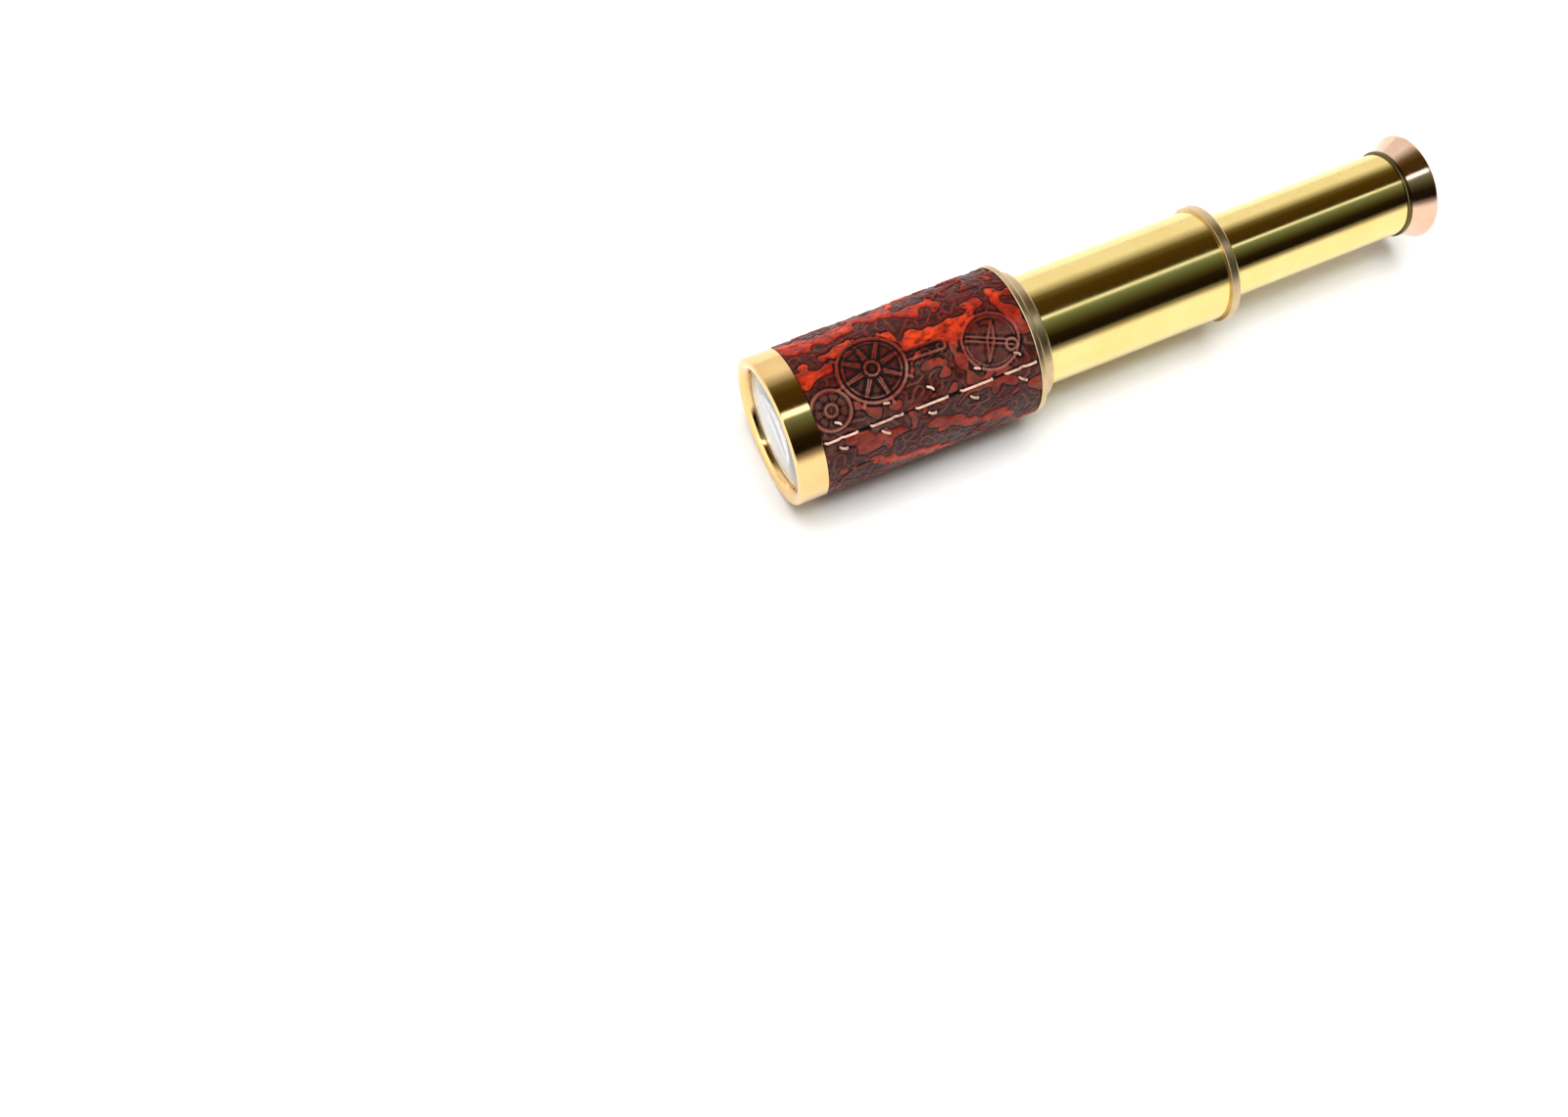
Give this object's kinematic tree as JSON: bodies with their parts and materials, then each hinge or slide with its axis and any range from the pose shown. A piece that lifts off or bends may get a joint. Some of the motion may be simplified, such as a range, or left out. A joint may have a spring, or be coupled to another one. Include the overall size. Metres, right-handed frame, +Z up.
{
  "type": "pocket telescope",
  "caption": "Collapsible pocket telescope: leather-wrapped barrel with an objective lens, sliding draw tubes with stop rings, erecting lenses and a flared eyecup.",
  "frame": {"origin": "on the optical axis, in the middle of the bezel's band and of the objective lens", "axes": "+X along the optical axis from the objective to the eye, +Z up with the telescope lying on its side, +Y to the left when looking along +X"},
  "size_m": [0.1524, 0.0322, 0.0322],
  "materials": {
    "polished_brass": "polished",
    "rosy_brass": "polished",
    "blackened_brass": "satin",
    "blackened_aluminium": "matte",
    "lens_glass": "polished",
    "leather": "waxed and embossed",
    "lace": "waxed thread",
    "felt": "felt"
  },
  "bodies": {
    "barrel": {"objective_bezel": "polished_brass", "objective_crown_lens": "lens_glass", "objective_flint_lens": "lens_glass", "objective_cell": "blackened_brass", "objective_retaining_ring": "blackened_brass", "barrel_tube": "polished_brass", "leather_wrap": "leather", "seam_lacing": "lace", "barrel_end_ring": "polished_brass"},
    "draw_1_liner": {"draw_1_friction_liner": "felt"},
    "draw_1": {"draw_1_stop_ring": "polished_brass", "draw_1_tube": "polished_brass", "draw_1_glare_stop": "blackened_aluminium", "draw_1_collar": "polished_brass"},
    "draw_2_liner": {"draw_2_friction_liner": "felt"},
    "draw_2": {"draw_2_stop_ring": "polished_brass", "draw_2_tube": "polished_brass", "erector_cell": "blackened_aluminium", "erector_front_lens": "lens_glass", "erector_spacer": "blackened_aluminium", "erector_rear_lens": "lens_glass", "erector_retaining_ring": "blackened_aluminium", "eyepiece_cell": "blackened_aluminium", "field_lens": "lens_glass", "eyepiece_front_spacer": "blackened_aluminium", "field_stop": "blackened_aluminium", "eyepiece_rear_spacer": "blackened_aluminium", "eye_lens": "lens_glass", "eyepiece_base_ring": "blackened_brass", "eyecup": "rosy_brass"}
  },
  "joints": [
    {"name": "draw_1_twist", "type": "hinge", "parent": "barrel", "child": "draw_1_liner", "pos_m": [0.0515, 0, 0], "axis": [1, 0, 0], "continuous": true},
    {"name": "draw_1_slide", "type": "slide", "parent": "draw_1_liner", "child": "draw_1", "axis": [-1, 0, 0], "range_m": [0, 0.0424]},
    {"name": "draw_2_twist", "type": "hinge", "parent": "draw_1", "child": "draw_2_liner", "pos_m": [0.0967, 0, 0], "axis": [1, 0, 0], "continuous": true},
    {"name": "draw_2_slide", "type": "slide", "parent": "draw_2_liner", "child": "draw_2", "axis": [-1, 0, 0], "range_m": [0, 0.0433]}
  ]
}
